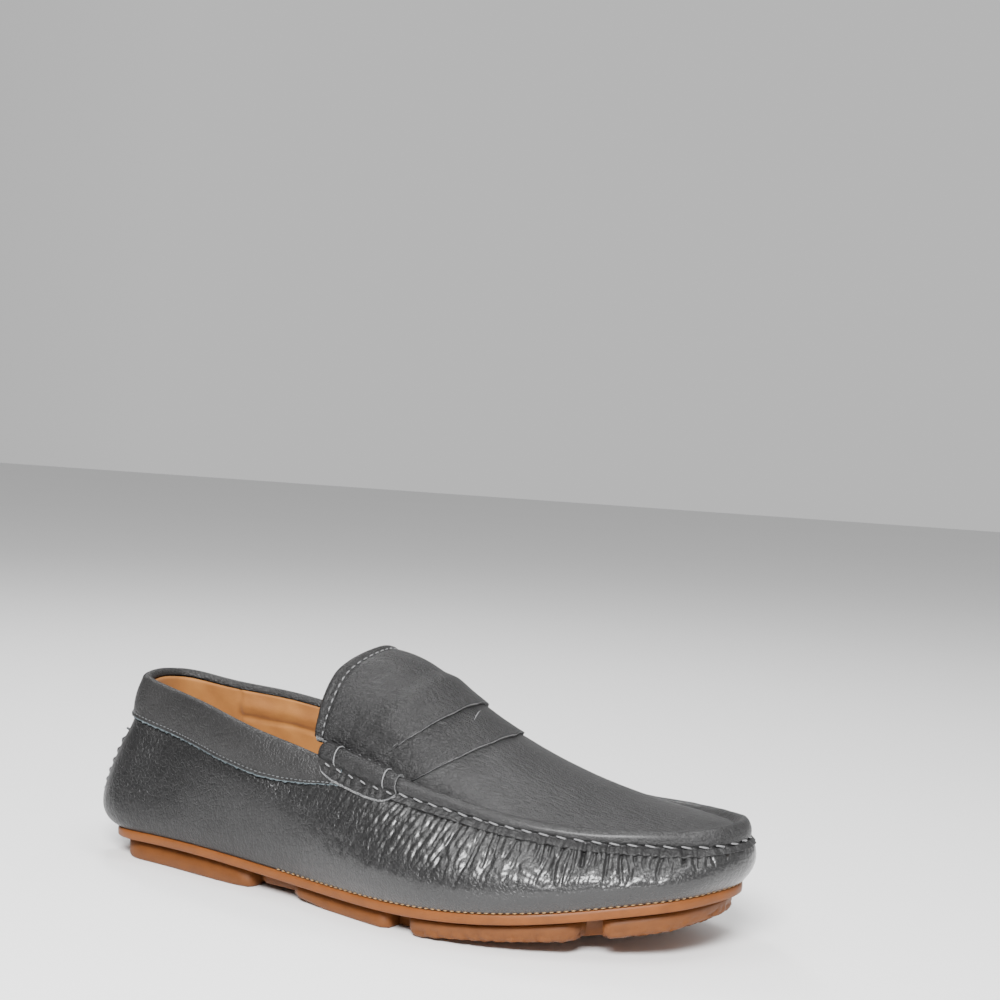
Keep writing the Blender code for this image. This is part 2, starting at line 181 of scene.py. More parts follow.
edge_curve = closed_spline(KNOTS, EDGE_ROWS, ROUND)
rim_curve = closed_spline(KNOTS, RIM_ROWS, ROUND)
roll_height = closed_spline(KNOTS, loop_of(("roll", "roll")), ROUND)
handle_curve = closed_spline(KNOTS, HANDLE_ROWS, ROUND)
lateral_place = spline(np.arange(TOE + 1), KNOTS[: TOE + 1])
medial_place = spline(np.arange(TOE + 1), np.append(KNOTS, ROUND)[TOE:][::-1])
SIDES = (lateral_place, medial_place)
crown_curve = spline([row.station for row in CROWNS], [row[1:] for row in CROWNS])


def unit(vectors):
    return vectors / np.maximum(np.linalg.norm(vectors, axis=-1, keepdims=True), 1e-9)


def outward(curve, t):
    """Level unit vectors that point away from the shoe."""
    reach = 0.5
    way = curve(t + reach) - curve(t - reach)
    return unit(np.stack([way[..., 1], -way[..., 0], np.zeros(way.shape[:-1])], axis=-1))


def wall(t, share):
    """Points of the wall's outer face: t round the shoe, share from 0 at the sole to 1 at the rim."""
    low, rim, handles = edge_curve(t), rim_curve(t), handle_curve(t)
    low[..., 2] += GAP
    first = low + outward(edge_curve, t) * handles[..., :1]
    first[..., 2] += handles[..., 1]
    second = rim + outward(rim_curve, t) * handles[..., 2:3]
    second[..., 2] -= handles[..., 3]
    share = share[..., None]
    rest = 1 - share
    return rest**3 * low + 3 * rest**2 * share * first + 3 * rest * share**2 * second + share**3 * rim


def wall_normal(t, share):
    """Unit vectors square to the wall, pointing out of the shoe."""
    reach = 0.01
    up = wall(t, share) - wall(t, share - reach)
    around = wall(t + reach, share) - wall(t - reach, share)
    return unit(np.cross(around, up))


def seam_line(t, inward, up):
    """The seam line moved inward and up."""
    points = rim_curve(t) - outward(rim_curve, t) * np.asarray(inward)[..., None]
    points[..., 2] += up * roll_height(t)[..., 0]
    return points


def crown(station, side):
    """Points of tongue and apron between the creases; side runs from -1, outer, to 1, inner."""
    crest, bow, fullness = np.moveaxis(crown_curve(station), -1, 0)
    outer = seam_line(lateral_place(station), CREASE.inward, CREASE.up)
    inner = seam_line(medial_place(station), CREASE.inward, CREASE.up)
    turn = side * math.pi / 2
    points = outer + (inner - outer) * ((1 + np.sin(turn)) / 2)[..., None]
    arch = np.maximum(np.cos(turn), 0.0) ** (2 * fullness)
    points[..., 2] += (crest - (outer[..., 2] + inner[..., 2]) / 2) * arch
    points[..., 0] += bow * arch
    return points


def crown_normal(station, side):
    """Unit vectors square to tongue and apron, pointing out of the shoe."""
    reach = 0.02
    along = crown(station + reach, side) - crown(station - reach, side)
    across = crown(station, np.minimum(side + reach, 1)) - crown(station, np.maximum(side - reach, -1))
    return unit(np.cross(along, across))


def off_wall(t, share, lift):
    return wall(t, share) + wall_normal(t, share) * lift[..., None]


def off_crown(station, side, lift):
    return crown(station, side) + crown_normal(station, side) * lift[..., None]


def smooth(low, high, value):
    """0 below low, 1 above high, and a soft step between."""
    share = np.clip((value - low) / (high - low), 0, 1)
    return share * share * (3 - 2 * share)


def bell(value, width):
    """1 at zero, falling softly to either side."""
    return np.exp(-((value / width) ** 2))


def lengths(points):
    """The distance along a line of points, from its first."""
    return np.concatenate([[0.0], np.cumsum(np.linalg.norm(np.diff(points, axis=0), axis=1))])


def across_sole(station, side, inset):
    """Points across the sole, inset from its edge; side runs from -1, outer, to 1, inner."""
    places = [place(station) for place in SIDES]
    outer, inner = [edge_curve(t) - outward(edge_curve, t) * inset for t in places]
    return outer + (inner - outer) * ((1 + side) / 2)[..., None]


def grid(first, second):
    return np.meshgrid(first, second, indexing="ij")


def eased(count):
    """Shares from -1 to 1, closer together at both ends."""
    return np.sin(np.linspace(-math.pi / 2, math.pi / 2, count))


def section_of(rows, count, first=0.0, last=1.0):
    """Points of a smooth section through these rows, from its first share to its last."""
    return spline(np.linspace(0, 1, len(rows)), np.array(rows))(np.linspace(first, last, count))


def quads(index, closed=False):
    if closed:
        index = np.vstack([index, index[:1]])
    here, after = index[:-1], index[1:]
    return np.stack([here[:, :-1], after[:, :-1], after[:, 1:], here[:, 1:]], axis=-1).reshape(-1, 4)


def normals(points):
    """Unit vectors square to a grid of points."""
    return unit(np.cross(np.gradient(points, axis=0), np.gradient(points, axis=1)))


# Points closer than this, in metres, are joined
WELD = 2e-6


def make(name, points, faces, finishes, kinds=None):
    """An object of these points and faces that rides on the shoe. kinds picks a finish for each face."""
    mesh = bpy.data.meshes.new(name)
    mesh.from_pydata(((points.reshape(-1, 3) - ORIGIN) * MM).tolist(), [], faces.tolist())
    for finish in finishes:
        mesh.materials.append(finish)
    if kinds is not None:
        mesh.polygons.foreach_set("material_index", kinds.astype(np.int32))
    shape = bmesh.new()
    shape.from_mesh(mesh)
    bmesh.ops.remove_doubles(shape, verts=shape.verts, dist=WELD)
    bmesh.ops.recalc_face_normals(shape, faces=shape.faces)
    shape.to_mesh(mesh)
    shape.free()
    mesh.shade_smooth()
    obj = bpy.data.objects.new(name, mesh)
    bpy.context.scene.collection.objects.link(obj)
    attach(obj, "root")
    return obj


def shell(name, outer, inner, finishes, closed=False, raw=None, rim_kinds=(2, 2, 2, 2)):
    """A closed skin between two grids.

    finishes: of the outer face, the inner face and the edges. closed: the rows run round the shoe. raw marks
    the outer faces that are a cut edge. rim_kinds: which finish the first and last column and row have.
    """
    count = outer.shape[0] * outer.shape[1]
    top = np.arange(count).reshape(outer.shape[:2])
    low = top + count
    rims = [quads(np.column_stack([top[:, side], low[:, side]]), closed) for side in (0, -1)]
    if not closed:
        rims += [quads(np.column_stack([top[side], low[side]])) for side in (0, -1)]
    parts = [quads(top, closed), quads(low, closed)] + rims
    kinds = np.concatenate([np.full(len(part), kind) for kind, part in zip((0, 1) + rim_kinds, parts)])
    if raw is not None:
        kinds[: len(parts[0])][raw.reshape(-1)] = 2
    points = np.concatenate([outer.reshape(-1, 3), inner.reshape(-1, 3)])
    return make(name, points, np.concatenate(parts), finishes, kinds)


def ring(name, sections, finishes):
    """A tube round the shoe: sections[i] is a closed outline, its last point joined to the first."""
    index = np.arange(sections[..., 0].size).reshape(sections.shape[:2])
    return make(name, sections, quads(np.column_stack([index, index[:, :1]]), True), finishes)


THREAD_SIDES = 7
# A direction that no thread runs in, from which a thread's own directions are made
ASKEW = np.array((0.13, 0.21, 0.97))


def threads(name, paths, radius, finish):
    """Short lengths of round thread. paths is an array of paths of the same number of points."""
    paths = np.asarray(paths)
    along = unit(np.gradient(paths, axis=1))
    first = unit(np.cross(along, ASKEW))
    second = np.cross(along, first)
    count = paths.shape[1]
    taper = np.sqrt(np.clip(1 - np.linspace(-1, 1, count) ** 6, 0.02, 1))
    turn = np.linspace(0, 2 * math.pi, THREAD_SIDES, endpoint=False)
    round_ = first[:, :, None] * np.cos(turn)[:, None] + second[:, :, None] * np.sin(turn)[:, None]
    tube = paths[:, :, None] + radius * taper[None, :, None, None] * round_
    index = np.arange(tube[..., 0].size).reshape(tube.shape[:3])
    faces = [quads(np.column_stack([piece, piece[:, :1]])) for piece in index]
    caps = np.concatenate([index[:, 0], index[:, -1]])
    faces = np.concatenate(faces).tolist() + caps.tolist()
    return make(name, tube, np.array(faces, dtype=object), [finish])


LUMP_CELLS = 64


def lumps(first, second, pitch, seed):
    """Rounded knobs on a jittered grid, from 0 between them to 1 on top."""
    table = np.random.default_rng(seed).uniform(0.1, 0.9, (LUMP_CELLS, LUMP_CELLS, 3))
    u, v = first / pitch, second / pitch
    base_u, base_v = np.floor(u).astype(int), np.floor(v).astype(int)
    best = np.zeros(np.broadcast(u, v).shape)
    for du in (-1, 0, 1):
        for dv in (-1, 0, 1):
            cell = table[(base_u + du) % LUMP_CELLS, (base_v + dv) % LUMP_CELLS]
            away = (base_u + du + cell[..., 0] - u) ** 2 + (base_v + dv + cell[..., 1] - v) ** 2
            best = np.maximum(best, (0.7 + 0.5 * cell[..., 2]) * (1 - away / 0.5))
    return np.clip(best, 0, 1)


# Materials


def finish_of(name, colour, roughness, specular=0.5, sheen=0.0):
    """A new material, its shader and its node tree, with the values that are the same all over."""
    finish = bpy.data.materials.new(name)
    finish.use_nodes = True
    shader = finish.node_tree.nodes["Principled BSDF"]
    shader.inputs["Base Color"].default_value = (*colour, 1.0)
    shader.inputs["Roughness"].default_value = roughness
    shader.inputs["Specular IOR Level"].default_value = specular
    shader.inputs["Sheen Weight"].default_value = sheen
    return finish, shader, finish.node_tree


def node(tree, kind, **values):
    """A new node. Values are its properties, its inputs' numbers, or the outputs that feed its inputs."""
    made = tree.nodes.new(kind)
    for key, value in values.items():
        key = key.replace("_", " ")
        if isinstance(value, bpy.types.NodeSocket):
            tree.links.new(value, made.inputs[key])
        elif key in made.inputs:
            made.inputs[key].default_value = value
        else:
            setattr(made, key.replace(" ", "_"), value)
    return made


def place_of(tree, stretch=(1.0, 1.0, 1.0)):
    """Object coordinates, stretched."""
    place = node(tree, "ShaderNodeTexCoord").outputs["Object"]
    return node(tree, "ShaderNodeMapping", Vector=place, Scale=stretch).outputs["Vector"]


def noise(tree, place, size_mm, detail=3.0, roughness=0.55):
    scale = 1000.0 / size_mm
    made = node(tree, "ShaderNodeTexNoise", Vector=place, Scale=scale, Detail=detail, Roughness=roughness)
    return made.outputs["Fac"]


def between(tree, value, low, high, to_low, to_high):
    """The value, moved from one range to another and held inside it."""
    ends = {"From_Min": low, "From_Max": high, "To_Min": to_low, "To_Max": to_high}
    return node(tree, "ShaderNodeMapRange", Value=value, **ends).outputs["Result"]


def paint(tree, shader, value, dark, pale, low=0.3, high=0.7):
    """Base colour that goes from dark to pale as the value goes from low to high."""
    made = node(tree, "ShaderNodeValToRGB", Fac=value)
    for element, place, colour in zip(made.color_ramp.elements, (low, high), (dark, pale)):
        element.position = place
        element.color = (*colour, 1.0)
    tree.links.new(made.outputs["Color"], shader.inputs["Base Color"])


def tint(colour, share):
    return tuple(share * part for part in colour)


def bump(tree, shader, *layers):
    """Bumps laid on one another. layers: height value and depth in millimetres."""
    below = {}
    for height, depth in layers:
        made = node(tree, "ShaderNodeBump", Distance=depth * MM, Height=height, **below)
        below = {"Normal": made.outputs["Normal"]}
    tree.links.new(below["Normal"], shader.inputs["Normal"])


PORE_SIZE, PORE_DEPTH, PATCH_SIZE = 0.25, 0.02, 9.0
# The leather is matt at the heel and gains its full gloss between these places, by x in the frame.
MATT_UNTIL, GLOSSY_FROM, MATT_SHARE = -70.0, 30.0, 0.1


def leather(row):
    """Grained leather: pebbles, long fine wrinkles, and pores."""
    finish, shader, tree = finish_of(row.name, row.colour, row.roughness, specular=0.32)
    shader.inputs["Coat Roughness"].default_value = 0.24
    place = place_of(tree)
    scale = 1000.0 / row.pebble
    cells = node(tree, "ShaderNodeTexVoronoi", feature="DISTANCE_TO_EDGE", Vector=place, Scale=scale)
    pebbles = between(tree, cells.outputs["Distance"], 0.0, 0.18, 0.0, 1.0)
    wrinkles = noise(tree, place_of(tree, row.stretch), row.wrinkle, detail=4.0, roughness=0.6)
    pores = noise(tree, place, PORE_SIZE, detail=2.0)
    bump(tree, shader, (pebbles, row.pebble_depth), (wrinkles, row.wrinkle_depth), (pores, PORE_DEPTH))
    dark, pale = tint(row.colour, 0.86), tint(row.colour, 1.12)
    paint(tree, shader, noise(tree, place, PATCH_SIZE), dark, pale, 0.35)
    worn = between(tree, wrinkles, 0.3, 0.7, row.roughness - 0.06, row.roughness + 0.08)
    tree.links.new(worn, shader.inputs["Roughness"])
    length = node(tree, "ShaderNodeSeparateXYZ", Vector=place).outputs["X"]
    polish = between(tree, length, MATT_UNTIL * MM, GLOSSY_FROM * MM, MATT_SHARE * row.gloss, row.gloss)
    tree.links.new(polish, shader.inputs["Coat Weight"])
    return finish


def raw_edge(name, dark, pale):
    """The cut edge of the dyed leather, rough and fibrous."""
    finish, shader, tree = finish_of(name, dark, 0.9, specular=0.2)
    fibres = noise(tree, place_of(tree), 0.5, detail=4.0)
    paint(tree, shader, fibres, dark, pale, 0.35, 0.65)
    bump(tree, shader, (fibres, 0.25))
    return finish


def thread_finish(name, colour):
    """Twisted thread."""
    finish, shader, tree = finish_of(name, colour, 0.55, sheen=0.3)
    twist = noise(tree, place_of(tree, (1.0, 1.0, 1.6)), 0.35, detail=2.0)
    paint(tree, shader, twist, tint(colour, 0.6), colour, 0.35, 0.65)
    bump(tree, shader, (twist, 0.12))
    return finish


def lining_finish():
    """Tan lining leather with a short nap."""
    finish, shader, tree = finish_of("tan_lining", (0.56, 0.29, 0.11), 0.8, sheen=0.1)
    place = place_of(tree)
    patches = noise(tree, place, 14.0, detail=4.0)
    paint(tree, shader, patches, (0.25, 0.092, 0.0165), (0.34, 0.137, 0.026))
    bump(tree, shader, (patches, 0.5), (noise(tree, place, 0.6, detail=4.0), 0.06))
    return finish


def rubber_finish(name, colour, speck_depth):
    """Gum rubber: warm, matt, with faint clouds and a few specks."""
    finish, shader, tree = finish_of(name, colour, 0.5, specular=0.25)
    place = place_of(tree)
    clouds = noise(tree, place, 7.0, detail=4.0)
    paint(tree, shader, clouds, tint(colour, 0.84), tint(colour, 1.12))
    tree.links.new(between(tree, clouds, 0.3, 0.7, 0.42, 0.6), shader.inputs["Roughness"])
    bump(tree, shader, (noise(tree, place, 0.5, detail=2.0), speck_depth))
    return finish


def floor_finish():
    """Pale paper with faint clouds."""
    pale = (0.9, 0.9, 0.9)
    finish, shader, tree = finish_of("studio_floor", pale, 0.9, specular=0.1)
    paint(tree, shader, noise(tree, place_of(tree), 400.0), pale, (0.92, 0.92, 0.92), 0.0, 1.0)
    return finish


# Sizes and depths in millimetres. gloss: weight of the coat. stretch: of the wrinkles.
LEATHERS = table(
    "Leather",
    "name colour roughness gloss pebble pebble_depth wrinkle wrinkle_depth stretch",
    # The vamp's base colour is set darker than the apron's as painted shade, to darken the quarter on the
    # heel's side.
    ("vamp_leather", (0.0115, 0.0113, 0.0115), 0.36, 0.7, 1.6, 0.11, 2.2, 0.62, (1.0, 1.0, 0.55)),
    ("apron_leather", (0.0165, 0.0162, 0.0165), 0.44, 0.16, 1.4, 0.07, 1.3, 0.85, (0.3, 1.0, 1.0)),
    ("pebbled_leather", (0.0125, 0.0122, 0.0125), 0.45, 0.1, 1.5, 0.13, 1.5, 1.3, (0.35, 1.0, 1.0)),
    ("cuff_leather", (0.0165, 0.016, 0.016), 0.46, 0.1, 1.5, 0.12, 2.0, 0.6, (0.6, 1.0, 1.0)),
)
VAMP, APRON, PEBBLED, PADDED = [leather(row) for row in LEATHERS]
EDGE = raw_edge("blue_cut_edge", (0.05, 0.065, 0.072), (0.17, 0.21, 0.23))
FIBRE = raw_edge("pale_cut_edge", (0.045, 0.046, 0.049), (0.22, 0.22, 0.22))
THREAD = thread_finish("grey_thread", (0.19, 0.19, 0.195))
HEEL_THREAD = thread_finish("blue_grey_thread", (0.04, 0.048, 0.054))
WELT_THREAD = thread_finish("ochre_thread", (0.32, 0.17, 0.05))
FINE_THREAD = thread_finish("fine_grey_thread", (0.1, 0.105, 0.11))
LINING = lining_finish()
LINED = [LINING] * 3
BAND = rubber_finish("gum_band", (0.155, 0.049, 0.0105), 0.03)
# The lugs' gum is the band's colour painted darker, as painted shade for lugs that face down; the sole's
# core uses it too.
SHADED_LUG_GUM = rubber_finish("gum_lugs_painted_shade", (0.125, 0.042, 0.0105), 0.08)

# Places round the wall and rows of the surfaces

BACK_LIMIT = 5.4
COLUMN_STEP, BACK_STEP = 0.46, 1.6
# The heel seam's place round the shoe, and its stitches, by the share of the wall's height
HEEL_SEAM = 10.5
HEEL_REACH = 5
HEEL_STITCH_FIRST, HEEL_STITCH_PITCH = 0.05, 0.061


def wall_places():
    """Columns round the whole wall, close together at the heel seam and where the leather is gathered."""
    first, last = [float(place(BACK_LIMIT)) for place in SIDES]
    stops = (0.0, HEEL_SEAM - HEEL_REACH, HEEL_SEAM + HEEL_REACH, first, last, ROUND - BACK_STEP / 2)
    steps = (BACK_STEP, COLUMN_STEP, BACK_STEP, COLUMN_STEP, BACK_STEP)
    return np.concatenate([np.arange(*span) for span in zip(stops, stops[1:], steps)])


def station_of(t):
    """The station of a place on the loop, on either side."""
    stations = np.linspace(0, TOE, 561)
    outer = np.interp(t, lateral_place(stations), stations)
    inner = np.interp(-t, -medial_place(stations), stations)
    return np.where(t <= lateral_place(TOE), outer, inner)


# The gathers of the vamp. length: the share of the wall's height that a crease runs down from the seam.
# lean: how far its foot lies towards the heel.
GATHERS = table(
    "Gather",
    "station depth length lean",
    (5.8, 0, 0.3, 16),
    (6.6, 0.3, 0.5, 24),
    (7.2, 0.42, 0.76, 26),
    (8, 0.62, 0.8, 19),
    (8.6, 0.95, 0.76, 11),
    (9.4, 1.35, 0.72, 4),
    (10.5, 1.5, 0.68, 2),
    (11.6, 1.5, 0.6, 1),
    (12.3, 1.2, 0.5, 0),
    (12.8, 0.7, 0.36, 0),
    (14, 0.4, 0.28, 0),
)
GATHER_PITCH, GATHER_WIDTH = 2.5, 0.58
DEEPEST = 2.2
Crease = namedtuple("Crease", "spot start depth run width lean wave turn")


def creases():
    """The creases of all gathers: long ones from the seam down, and fine short ones lower."""
    rows = np.array(GATHERS)
    first, last = float(lateral_place(rows[0, 0])), float(medial_place(rows[0, 0]))
    count = int((last - first) / GATHER_PITCH * 1.1)
    spots = first + np.cumsum(GATHER_PITCH * rng.uniform(0.6, 1.4, count))
    made = []
    for spot in spots[spots < last]:
        station = float(station_of(spot))
        depth, length, lean = [np.interp(station, rows[:, 0], rows[:, i]) for i in (1, 2, 3)]
        way = -1.0 if spot < lateral_place(TOE) else 1.0
        for fine in (False, True):
            made.append(
                Crease(
                    spot + (rng.uniform(-1.5, 1.5) if fine else 0.0),
                    rng.uniform(0.25, 0.6) * length if fine else rng.uniform(-0.1, 0.05),
                    depth * (rng.uniform(0.2, 0.55) if fine else rng.uniform(0.45, 1.2)),
                    length * rng.uniform(0.6, 1.15),
                    GATHER_WIDTH * rng.uniform(0.65, 1.35),
                    way * lean,
                    rng.uniform(-1.1, 1.1),
                    rng.uniform(0, 2 * math.pi),
                )
            )
    return made


def gathers(t, share, made):
    """How far the creases push the leather in, at each place and height."""
    push = np.zeros_like(t)
    for row in made:
        near = np.abs(t[:, 0] - row.spot) < abs(row.lean) + 8
        down = 1 - share[near]
        axis = row.spot + row.lean * down + row.wave * np.sin(row.turn + 9 * down)
        away = np.abs(t[near] - axis) / row.width
        fade = smooth(0, 0.1, down - row.start) * (1 - smooth(0.45 * row.run, row.run, down))
        push[near] += row.depth * fade * np.exp(-away)
    return np.minimum(push, DEEPEST)


def heel_seam(t, share):
    """The two raised lips of the heel seam, pinched by its stitches, with a groove between them."""
    away = np.abs(t - HEEL_SEAM)
    pinch = 0.62 + 0.38 * np.cos((share - HEEL_STITCH_FIRST) * 2 * math.pi / HEEL_STITCH_PITCH - 2.6)
    return 1.7 * pinch * bell(away - 1.7, 1.5) - 0.5 * bell(away, 0.6)


# Soft folds of the vamp and quarter. share: their height on the wall.
FOLDS = table(
    "Fold",
    "station share along up depth lean",
    (6.7, 0.45, 9, 0.1, 0.5, 0.6),
    (7.3, 0.3, 10, 0.09, -0.4, 0.7),
    (5.6, 0.38, 14, 0.12, 0.4, 0.3),
    (4.4, 0.3, 22, 0.12, 0.5, 0.1),
    (2.6, 0.24, 20, 0.1, -0.4, 0.1),
    (9.2, 0.16, 22, 0.08, -0.4, 0.2),
    (11, 0.18, 20, 0.08, 0.4, 0),
)


def folds(t, share):
    """Soft hollows and swells, the same on both sides."""
    push = np.zeros_like(t)
    for fold in FOLDS:
        for place in SIDES:
            along = (t - float(place(fold.station))) / fold.along
            up = (share - fold.share - fold.lean * along * fold.up) / fold.up
            push += fold.depth * np.exp(-(along**2) - up**2)
    return push


SEAM_TUCK, TUCK_SHARE = 0.8, 0.12
CUFF_SINK = 0.6
FOLD_SHARE = 0.6
GRAIN_PITCH, GRAIN_DEPTH, GRAIN_STRETCH = 2.2, 0.36, 22.5
HEM = 4.0


def vamp(made):
    """The leather of vamp and quarters, gathered into the seam of the apron and joined at the heel."""
    places = wall_places()
    shares = np.concatenate([np.linspace(0.0, 0.3, 14)[:-1], np.linspace(0.3, 1.0, 48)])
    t, share = grid(places, shares)
    station = station_of(t)
    front = smooth(5.7, 6.3, station)
    tuck = SEAM_TUCK * front * smooth(1 - TUCK_SHARE, 1 - 0.3 * TUCK_SHARE, share)
    under_cuff = CUFF_SINK * (1 - front) * smooth(0.62, 0.72, share)
    grain = lumps(t, share * GRAIN_STRETCH, GRAIN_PITCH, SEED) * GRAIN_DEPTH * smooth(5.6, 7.0, station)
    grain = grain * smooth(0.2, 0.55, share) * (1 - 0.7 * smooth(10.0, 12.0, station))
    level = grain - tuck - under_cuff - folds(t, share) * FOLD_SHARE - gathers(t, share, made)
    level += heel_seam(t, share) * (1 - smooth(0.6, 0.72, share)) * (1 - front)
    points = off_wall(t, share, level)
    hem = points[:, :1] - outward(edge_curve, places)[:, None] * HEM
    points = np.concatenate([hem, points], axis=1)
    index = np.arange(points[..., 0].size).reshape(points.shape[:2])
    vamp_piece = make("vamp", points, quads(index, True), [VAMP])
    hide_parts("upper")


# Section of the apron's rolled seam from the stitch line over the top to the crease
RIDGE = rolls(
    (0.5, 0), (0.1, 0.9), (-0.1, 2.1), (0.15, 3.5), (0.75, 4.9), (1.7, 6), (2.9, 6.4),
    (4.1, 6), (5.2, 4.9), CREASE,
)
RIDGE_STEPS, FLANGE_STEPS, CROWN_STEPS = 19, 9, 22
FLANGE_DROP = 2.3
FLANGE_GATHER = 0.95
FLANGE_LIFT = 0.75
FLANGE_WAVE = 0.25
FLANGE_SUNK = -0.7
STITCH_PITCH = 6.6
RIB_STEP = 0.56
# The reach of the seam past the throat, sampled to turn places into millimetres along it
SEAM_SAMPLE = np.linspace(float(lateral_place(THROAT)) - 20, float(medial_place(THROAT)) + 20, 1500)
SEAM_RUN = lengths(rim_curve(SEAM_SAMPLE))
RIB_FIRST, RIB_LAST = THROAT + 0.3, TOE - 0.004
STITCH_DENT = 0.9
APRON_SWELL, APRON_THICKNESS = 0.14, 1.0


def rib_stations():
    """Stations of the ribs, closer together towards the round of the toe."""
    sample = np.linspace(RIB_FIRST, RIB_LAST, 1200)
    run = lengths(rim_curve(lateral_place(sample)))
    return np.interp(np.arange(0, run[-1], RIB_STEP), run, sample)


def stitch_phase(t):
    """The turn of the stitches at each place on the seam: full turns lie at their holes."""
    return np.interp(t, SEAM_SAMPLE, SEAM_RUN) * 2 * math.pi / STITCH_PITCH


def ridge_section(t):
    """The ridge's section at each place, as a grid of places by steps."""
    t_grid = np.repeat(t[:, None], RIDGE_STEPS, axis=1)
    inward, up = [np.broadcast_to(part, t_grid.shape) for part in section_of(RIDGE, RIDGE_STEPS).T]
    return seam_line(t_grid, inward, up)


def flange_section(t, made):
    """The turned-down edge of the apron below its stitches, from its cut edge up."""
    share_down = FLANGE_DROP / (3 * handle_curve(t)[:, 3])
    rise = np.linspace(0, 1, FLANGE_STEPS)[:-1]
    share = 1 - share_down[:, None] * (1 - rise)
    t_grid = np.repeat(t[:, None], FLANGE_STEPS - 1, axis=1)
    wave = FLANGE_WAVE * np.cos(stitch_phase(t_grid) + math.pi)
    wave = wave - FLANGE_GATHER * gathers(t_grid, share - 0.1, made)
    lift = FLANGE_LIFT * (1 - rise) ** 0.7 + wave * (1 - 0.45 * rise)
    lift = np.maximum(lift, FLANGE_SUNK) * (0.3 + 0.7 * smooth(7.3, 7.6, station_of(t_grid)))
    return off_wall(t_grid, share, lift)


def half_ribs(stations, place_on, sign, made):
    """Ribs of one side, from the flange's cut edge over the seam to the middle line."""
    t = place_on(stations)
    side = sign * np.cos(np.linspace(0, math.pi / 2, CROWN_STEPS))
    top = crown(*grid(stations, side))[:, 1:]
    seam = ridge_section(t)
    dent = STITCH_DENT * (0.55 + 0.45 * np.cos(stitch_phase(t)))
    seam[:, :2] -= outward(rim_curve, t)[:, None] * dent[:, None, None] * np.array((1.0, 0.6))[:, None]
    return np.concatenate([flange_section(t, made), seam, top], axis=1)


def apron(made):
    """Apron with its rolled seam: one skin, from the cut edge below the stitches to the middle line."""
    stations = rib_stations()
    outer, inner = [half_ribs(stations, place, sign, made) for place, sign in zip(SIDES, (-1.0, 1.0))]
    ribs = np.concatenate([outer, inner[::-1]])
    ribs[..., 2] += noise_field(ribs[..., 0], ribs[..., 1]) * APRON_SWELL
    shell("apron", ribs, ribs - normals(ribs) * APRON_THICKNESS, [APRON, LINING, APRON])


def noise_field(x, y):
    """A slow, uneven swell made of a few waves."""
    waves = np.random.default_rng(SEED + 3)
    total = np.zeros_like(x)
    for size in (31.0, 19.0, 13.0, 8.0):
        turn = waves.uniform(0, math.pi)
        way = x * math.cos(turn) + y * math.sin(turn)
        total += np.sin(way * 2 * math.pi / size + waves.uniform(0, 6)) / 4
    return total


# The strap's lines over the instep: their stations, by the share of the width from middle to crease.
LINES = table(
    "Line",
    "side rear slit front",
    (0, 7.09, 7.66, 8.34),
    (0.25, 7.05, 7.58, 8.24),
    (0.5, 6.93, 7.36, 8),
    (0.66, 6.84, 7.18, 7.8),
    (0.82, 6.72, 7, 7.62),
    (0.97, 6.6, 6.85, 7.46),
    (1, 6.6, 6.82, 7.43),
)
# Millimetres of one station near the strap, along the shoe, and half the width over the instep
STATION_LENGTH, HALF_WIDTH = 27.0, 32.0
SLIT_END = 0.68
SLIT_STEP = 1.35
SLIT_LAP = 0.045
MASK_LIFT = 1.25
MASK_THICKNESS = 1.1
EDGE_TUCK, TONGUE_FLARE, TONGUE_ROLL = 3.7, 0.12, 0.75
SLIT_SHARE = 0.6

# The mask's section over the ridge, from the flap's lower edge to the crease
FLAP = rolls(
    (-2.9, -5), (-2.2, -3), (-1.2, -1), (-0.6, 0.4), (-1.5, 1.9), (-1.4, 4.2), (-0.3, 6.5),
    (1.6, 7.8), (3.4, 7.8), (4.9, 6.9), (5.9, 5.6),
)
FLAP_REAR, FLAP_FRONT, FLAP_STEPS = 6.14, 7.43, 26


def line_at(side, name):
    return np.interp(np.abs(side), [row.side for row in LINES], [getattr(row, name) for row in LINES])


def tongue_edge(side):
    """The station of the tongue's rear edge."""
    return THROAT - TONGUE_FLARE * smooth(0.05, 0.55, np.abs(side))


def tongue_roll(edge_mm, side):
    """The rolled edge of the tongue: swell, tuck of its stitches, gathers at the sides, drop behind."""
    roll = TONGUE_ROLL * bell(edge_mm - 1.8, 1.5) - 0.7 * bell(edge_mm - EDGE_TUCK, 0.7)
    gather = 0.45 * smooth(0.35, 0.85, np.abs(side)) * np.sin(side * 70 + 2 * np.sin(side * 9))
    return roll + gather * bell(edge_mm - 1.7, 1.3) - 1.3 * (1 - smooth(0.0, 1.1, edge_mm))


